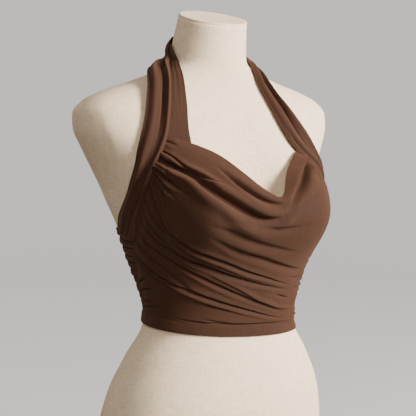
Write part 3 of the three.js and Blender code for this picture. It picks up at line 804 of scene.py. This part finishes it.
def make_under_strap():
    """The flat inner layer that shows beside the right strap and passes behind the cowl."""
    rows, columns = UNDER_GRID
    z = np.linspace(UNDER_STRAP["z"][-1], UNDER_STRAP["z"][0], rows)
    across = np.linspace(-UNDER_TUCK, 1, columns)[None, :, None]
    at = rows_at(UNDER_STRAP, "z", z)
    edge = points_of(at["x"], at["y"], z)[:, None]
    seam = line_points(RIGHT_LINE, z)[:, None]
    points, ways = snapped(seam + (edge - seam) * across)
    relief = pressed_in(creases_of(points, ways, UNDER_CREASES), UNDER_FLOOR)
    high = UNDER_OFF + UNDER_THICK + at["lift"][:, None] + relief
    return points + ways * high[..., None]


BACK_GRID = (200, 200)
BACK_OFF = 0.9
BACK_LEAN = 0.25
# The gathers at the side seams: how many, how high, how many degrees they reach in, and how they vary.
RUCHING = {"folds": 4.5, "high": 3, "reach": 30, "slant": 0.02, "wander": 0.3, "swell": 0.4}
BACK_CREASES = [
    ([(-0.01, 0.06), (0.1, 0.1), (0.3, 0.14)], 2.4, 2, 1),
    ([(-0.01, 0.17), (0.12, 0.22), (0.42, 0.26)], 2.6, 2.2, 1),
    ([(-0.01, 0.28), (0.08, 0.31), (0.18, 0.33)], 2, 1.6, 0.8),
    ([(-0.01, 0.36), (0.14, 0.41), (0.5, 0.44)], 2.8, 2.2, 1),
    ([(-0.01, 0.47), (0.08, 0.5), (0.2, 0.52)], 2.2, 1.7, 0.8),
    ([(-0.01, 0.56), (0.12, 0.6), (0.36, 0.63)], 2.6, 2, 1),
    ([(-0.01, 0.66), (0.08, 0.68), (0.2, 0.69)], 2, 1.6, 0.8),
    ([(-0.01, 0.75), (0.14, 0.78), (0.4, 0.8)], 2.4, 2, 0.8),
    ([(-0.01, 0.86), (0.08, 0.87), (0.22, 0.87)], 1.8, 1.6, 0.6),
    ([(1.01, 0.05), (0.9, 0.09), (0.74, 0.13)], 2.2, 1.9, 1),
    ([(1.01, 0.15), (0.88, 0.2), (0.6, 0.24)], 2.6, 2.2, 1),
    ([(1.01, 0.25), (0.93, 0.29), (0.82, 0.31)], 2, 1.6, 0.8),
    ([(1.01, 0.34), (0.86, 0.38), (0.56, 0.4)], 2.8, 2.2, 1),
    ([(1.01, 0.44), (0.92, 0.47), (0.8, 0.49)], 2.2, 1.7, 0.8),
    ([(1.01, 0.53), (0.88, 0.56), (0.64, 0.57)], 2.6, 2, 1),
    ([(1.01, 0.63), (0.93, 0.65), (0.8, 0.66)], 2, 1.6, 0.8),
    ([(1.01, 0.73), (0.88, 0.75), (0.6, 0.76)], 2.4, 2, 0.8),
    ([(1.01, 0.84), (0.92, 0.85), (0.78, 0.85)], 1.8, 1.6, 0.6),
]


def make_back():
    """The low back panel, gathered at both side seams."""
    down, share = [np.linspace(0, 1, count) for count in BACK_GRID]

    def ends(z):
        return angles_at(line_points(LEFT_LINE, z)), angles_at(line_points(RIGHT_LINE, z)) + 360

    top_ends = ends(np.array([BACK_CORNER]))
    hem_ends = ends(np.array([HEM["front"] + HEM["height"]]))
    top = rows_at(BACK_TOP, "angle", top_ends[0] + (top_ends[1] - top_ends[0]) * share)["z"]
    hem = hem_height(hem_ends[0] + (hem_ends[1] - hem_ends[0]) * share, HEM["height"] + HEM_SEAM)
    height = top + (hem - top) * down[:, None]
    starts, stops = ends(height[:, 0])[0], ends(height[:, -1])[1]
    angle = starts[:, None] + (stops - starts)[:, None] * share
    points, ways = body_points(angle, height), body_ways(angle, height)
    to_seam = np.minimum(angle - starts[:, None], stops[:, None] - angle)
    turns = RUCHING["folds"] * down + RUCHING["wander"] * np.sin(11 * down)
    wave = (1 - np.cos(2 * np.pi * (turns[:, None] + to_seam * RUCHING["slant"]))) / 2
    wave = wave * (1 - RUCHING["swell"] + RUCHING["swell"] * np.sin(17 * down + 1))[:, None]
    ruched = RUCHING["high"] * wave * (1 - smooth(0, RUCHING["reach"], to_seam))
    high = BACK_OFF + ruched * smooth(0, 0.1, 1 - down)[:, None]
    high += creases_of(points, ways, BACK_CREASES)
    inside = smooth(0, 0.05, share) * smooth(0, 0.05, 1 - share)
    high = pressed_in(high * (0.3 + 0.7 * inside) - 0.3 * (1 - inside), PANEL_FLOOR)
    return lowered(points, ways, CLEAR + FRONT_THICK + high, BACK_LEAN)


HEM_GRID = (17, 541)
# How far the band stands out at heights above its lower edge.
HEM_ROUND = table("above out", [(0, 0.3), (2, 1), (5, 1.2), (11, 1.2), (14, 0.9), (16, 0.1)])


def make_hem():
    """The turned hem band round the waist, with the slight ripple that its stitching draws in."""
    rows, columns = HEM_GRID
    above = np.linspace(HEM["height"], 0, rows)
    angle = np.linspace(-180, 180, columns)
    out = rows_at(HEM_ROUND, "above", above)["out"][:, None]
    turn = np.radians(angle)
    ripple = 0.18 * np.sin(23 * turn + 1.5 * np.sin(3 * turn)) + 0.12 * np.sin(61 * turn + np.sin(5 * turn))
    ripple = ripple * smooth(0.2, 1, above / HEM["height"])[:, None]
    heights = np.stack([hem_height(angle, step) for step in above])
    angles = np.broadcast_to(angle, heights.shape)
    high = CLEAR + STRAP_THICK + out + ripple
    return body_points(angles, heights) + body_ways(angles, heights) * high[..., None]


FORM_GRID = (190, 241)
# Where the flatter plane on each shoulder is, its half sizes, how far it is sunk and where it may start.
ARMHOLE = {"y": 24, "z": 492, "deep": 50, "high": 70, "sunk": 1.5, "from_x": 120}


def neck_ring(level, angle):
    """A level ring of the form, leaning with the neck's slanting cut near the top."""
    lean = math.tan(NECK["cut_tilt"]) * smooth(NECK["tilt_from"], NECK["cut_height"], level)
    heights = level + lean * body_points(angle, level, False)[..., 1]
    return body_points(angle, heights, False)


def armholes_flattened(points):
    """The shoulders end in a slightly flatter plane where a jacket's sleeve would start."""
    across = (points[..., 1] - ARMHOLE["y"]) / ARMHOLE["deep"]
    up = (points[..., 2] - ARMHOLE["z"]) / ARMHOLE["high"]
    flat = smooth(1.12, 0.92, np.hypot(across, up)) * (np.abs(points[..., 0]) > ARMHOLE["from_x"])
    points[..., 0] -= np.sign(points[..., 0]) * ARMHOLE["sunk"] * flat
    return points


def form_points():
    """The form's grid, with rows at even steps down its side, and how far down the side each row is."""
    rows, columns = FORM_GRID
    fine = np.linspace(NECK["cut_height"], 0, 1400)
    half = rows_at(FORM_SECTIONS, "z", fine)["half"]
    path = np.concatenate([[0], np.cumsum(np.hypot(np.diff(fine), np.diff(half)))])
    reach = np.linspace(0, path[-1], rows)
    levels = np.interp(reach, path, fine)
    angle = np.linspace(-180, 180, columns)
    return armholes_flattened(neck_ring(levels[:, None], angle[None])), reach


# The upright thread line of the cover that keeps its place, as a share round from the back.
LINEN_CENTRE = 0.41


def make_form():
    """The linen covered form, its cover's threads in their real size."""
    points, reach = form_points()
    shape = grid_shape(points, (1, 1), wrapped=True)
    girths = np.linalg.norm(np.diff(points, axis=1), axis=-1).sum(1)
    threads = shape.loops.layers.uv.active
    rows = len(points)
    for face in shape.faces:
        for loop in face.loops:
            across, up = loop[threads].uv
            row = round((1 - up) * (rows - 1))
            loop[threads].uv = ((across - LINEN_CENTRE) * girths[row] * MM, -reach[row] * MM)
    bmesh.ops.holes_fill(shape, edges=[edge for edge in shape.edges if edge.is_boundary], sides=0)
    form = mesh_piece("form_body", shape, linen)
    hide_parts("dress_form")
    return form


# The disc on the neck from its edge to its middle: the height over the cut and the share of the cut's size.
NECK_DISC = [
    (-0.6, 0.996),
    (0.2, 1.0),
    (1.9, 1.002),
    (2.8, 0.994),
    (3.3, 0.978),
    (3.3, 0.95),
    (3.1, 0.92),
    (3, 0.5),
    (3, 0.06),
]


def make_neck_top():
    """The fabric-covered disc on the neck's slanting cut, a hair proud of a rounded rim."""
    angle = np.linspace(-180, 180, 145)
    cut = neck_ring(NECK["cut_height"], angle)
    centre = cut[:-1].mean(0)
    up = np.array([0, -math.sin(NECK["cut_tilt"]), math.cos(NECK["cut_tilt"])])
    rings = [centre + (cut - centre) * share + up * high for high, share in reversed(NECK_DISC)]
    shape = grid_shape(np.array(rings), (0.33, 0.06), wrapped=True)
    bmesh.ops.holes_fill(shape, edges=[edge for edge in shape.edges if edge.is_boundary], sides=0)
    cap = mesh_piece("form_neck_top", shape, linen)
    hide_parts("neck_cap")
    return cap


def dress():
    """Makes every piece of the top and of the form, gives each sheet's cloth map its cut size, and hides the
    model's parts that they replace.
    """
    form = make_form()
    make_neck_top()
    front = cloth_piece("front_drape", make_front(), (0.34, 0.3), FRONT_THICK)
    back = cloth_piece("back_ruched", make_back(), (0.42, 0.13), FRONT_THICK)
    hem = cloth_piece("hem_turned", make_hem(), (0.68, 0.016), STRAP_THICK, wrapped=True)
    right = make_strap(STRAP_RIGHT, RIGHT_LINE, PLEATS_RIGHT, STRAP_RIGHT_CREASES, "right")
    left = make_strap(STRAP_LEFT, LEFT_LINE, PLEATS_LEFT, STRAP_LEFT_CREASES, "left")
    right = cloth_piece("strap_right_pleated", right, (0.05, 0.38), STRAP_THICK)
    left = cloth_piece("strap_left_pleated", left, (0.05, 0.4), STRAP_THICK)
    under = cloth_piece("strap_right_lining", make_under_strap(), (0.03, 0.17), UNDER_THICK)
    stands_for = [
        (front, "front_panel"),
        (back, "back_panel"),
        (hem, "hem_band"),
        (right, "strap_right"),
        (left, "strap_left"),
        (under, "under_strap_right"),
    ]
    for piece, node in stands_for:
        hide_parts(node)


BACKDROP = {"colour": (0.22, 0.215, 0.21), "glow": 0.58, "glow_colour": (1, 0.985, 0.965, 1)}
# The backdrop's profile from the floor's middle outward and up, in metres.
BOWL = [(0.001, 0), (2.4, 0), (2.8, 0.06), (3.2, 0.28), (3.5, 0.7), (3.65, 1.3), (3.7, 2.2), (3.7, 4.6)]


def plain(name, colour):
    """The stage's matt paint, which glows a little for the camera so that the backdrop looks evenly lit."""
    paint = bpy.data.materials.new(name)
    paint.use_nodes = True
    shader = paint.node_tree.nodes["Principled BSDF"]
    shader.inputs["Base Color"].default_value = (*colour, 1)
    shader.inputs["Roughness"].default_value = 0.95
    shader.inputs["Specular IOR Level"].default_value = 0.1
    shader.inputs["Emission Color"].default_value = BACKDROP["glow_colour"]
    seen = paint.node_tree.nodes.new("ShaderNodeLightPath")
    glow = math_node(paint.node_tree, "MULTIPLY", seen.outputs["Is Camera Ray"], BACKDROP["glow"])
    paint.node_tree.links.new(glow, shader.inputs["Emission Strength"])
    return paint


def make_stage():
    """A pale floor that curves up into a plain backdrop all round."""
    shape = bmesh.new()
    verts = [shape.verts.new((reach, 0, high)) for reach, high in BOWL]
    edges = [shape.edges.new(pair) for pair in zip(verts[:-1], verts[1:])]
    round_it = {"axis": (0, 0, 1), "cent": (0, 0, 0), "steps": 72, "angle": 2 * math.pi, "use_merge": True}
    bmesh.ops.spin(shape, geom=verts + edges, **round_it)
    bmesh.ops.recalc_face_normals(shape, faces=shape.faces)
    bmesh.ops.reverse_faces(shape, faces=shape.faces)
    mesh = bpy.data.meshes.new("backdrop")
    shape.to_mesh(mesh)
    shape.free()
    mesh.shade_smooth()
    mesh.materials.append(plain("backdrop_paint", BACKDROP["colour"]))
    backdrop = bpy.data.objects.new("backdrop", mesh)
    bpy.context.scene.collection.objects.link(backdrop)
    backdrop.location.z = -0.001


# Where the camera stands round the part and above its level, in degrees and metres.
CAMERA = {"azimuth": -31, "elevation": 4, "distance": 1.7, "view": 19.6, "target": (-0.0043, 0.0026, 0.402)}


def make_camera():
    """The camera that takes the photograph's view."""
    data = bpy.data.cameras.new("photo_camera")
    data.sensor_width = 36
    data.lens = 18 / math.tan(math.radians(CAMERA["view"] / 2))
    azimuth, elevation = math.radians(CAMERA["azimuth"]), math.radians(CAMERA["elevation"])
    away = Vector((
        math.sin(azimuth) * math.cos(elevation),
        -math.cos(azimuth) * math.cos(elevation),
        math.sin(elevation),
    ))
    camera = bpy.data.objects.new("photo_camera", data)
    camera.location = Vector(CAMERA["target"]) + away * CAMERA["distance"]
    camera.rotation_euler = (-away).to_track_quat("-Z", "Y").to_euler()
    bpy.context.scene.collection.objects.link(camera)
    bpy.context.scene.camera = camera


# Soft boxes: where each hangs, what it is turned to, its width in metres and its power in watts.
LIGHTS = {
    "key": ((1.18, -1.72, 1.22), (0, 0, 0.4), 0.9, 182),
    "fill": ((-1.5, -2.3, 1.9), (0, 0, 0.4), 1.2, 36),
    "back": ((-0.9, 2.0, 1.6), (0, 0, 0.4), 1.6, 16),
}
LAMP_COLOUR = (1, 0.97, 0.93)
SKY = {"colour": (0.95, 0.97, 1, 1), "strength": 0.25}


def make_lights():
    """The soft boxes and the dim sky round them."""
    for name, (place, goal, width, power) in LIGHTS.items():
        data = bpy.data.lights.new(name, "AREA")
        data.size = width
        data.energy = power
        data.color = LAMP_COLOUR
        light = bpy.data.objects.new(name, data)
        light.location = place
        light.rotation_euler = (Vector(goal) - Vector(place)).to_track_quat("-Z", "Y").to_euler()
        bpy.context.scene.collection.objects.link(light)
    world = bpy.data.worlds.new("studio")
    world.use_nodes = True
    background = world.node_tree.nodes["Background"]
    background.inputs["Color"].default_value = SKY["colour"]
    background.inputs["Strength"].default_value = SKY["strength"]
    bpy.context.scene.world = world


make_camera()
make_lights()
make_stage()
dress()
